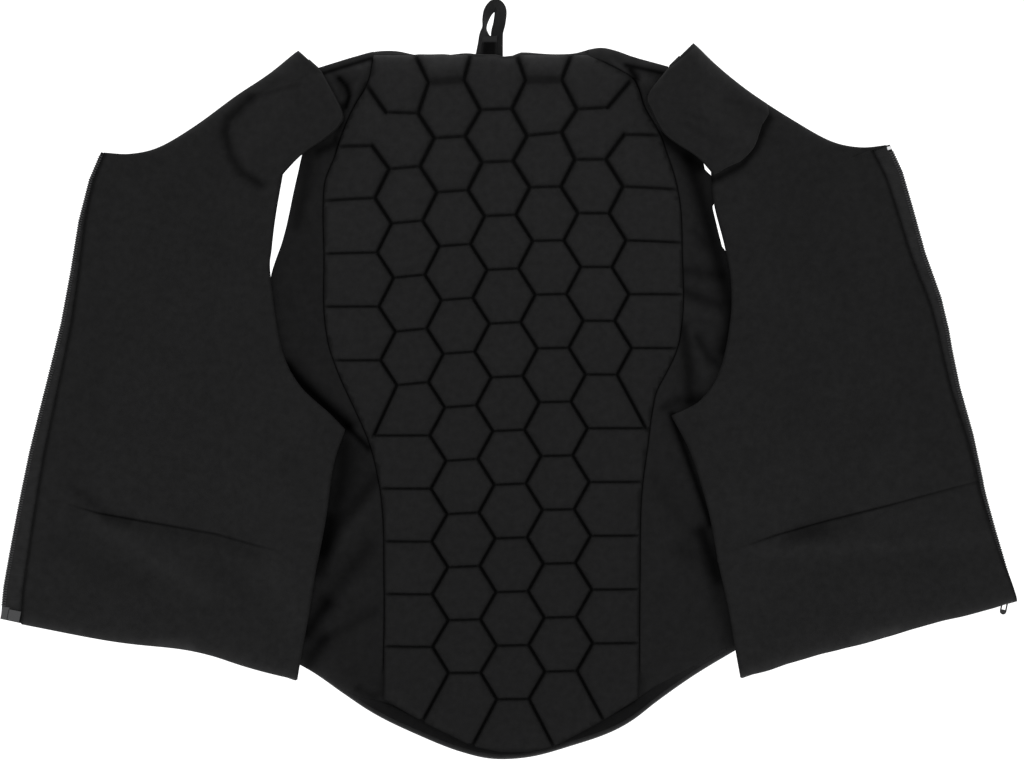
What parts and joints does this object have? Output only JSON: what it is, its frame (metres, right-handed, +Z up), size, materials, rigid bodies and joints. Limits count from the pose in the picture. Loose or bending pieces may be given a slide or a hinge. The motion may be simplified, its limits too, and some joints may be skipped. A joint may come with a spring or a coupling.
{
  "type": "equestrian protective vest",
  "caption": "Sleeveless zip-front riding vest with a honeycomb back pad, unzipped and laid open flat on its outer face with the lining up.",
  "frame": {"origin": "middle of the vest's bounding box, on the surface it lies on", "axes": "+X to the wearer's right front as it lies, across both open fronts; +Y from hem to neck; +Z up, out of the lining"},
  "size_m": [0.8647, 0.6417, 0.0194],
  "materials": {
    "shell_cloth": "matte woven stretch cloth",
    "lining": "matte fine knit over foam",
    "facing": "matte smooth binding cloth",
    "webbing": "ribbed narrow webbing",
    "zip_tape": "woven zip tape",
    "zip_teeth": "satin moulded teeth",
    "zip_plastic": "glossy stiffened tape end",
    "dark_metal": "black painted die-cast metal",
    "bright_metal": "bright plated metal"
  },
  "bodies": {
    "vest": {"back_shell": "shell_cloth", "back_pad": "lining", "hem_band": "facing", "hanger_keeper": "webbing", "hanger_loop": "webbing", "front_left": "lining", "front_right": "lining", "shoulder_pad_left": "lining", "shoulder_pad_right": "lining", "zip_tape_left": "zip_tape", "zip_tape_right": "zip_tape", "zip_teeth_left": "zip_teeth", "zip_teeth_right": "zip_teeth", "zip_end_tab": "zip_plastic", "zip_top_stop": "bright_metal", "zip_box": "dark_metal", "zip_slider": "dark_metal"},
    "zip_pull": {"zip_pull": "dark_metal"}
  },
  "joints": [
    {"name": "zip_pull_hinge", "type": "hinge", "parent": "vest", "child": "zip_pull", "pos_m": [0.42531, -0.18044, 0.0023], "axis": [0.9829, -0.184, 0], "range_deg": [0, 165]}
  ]
}
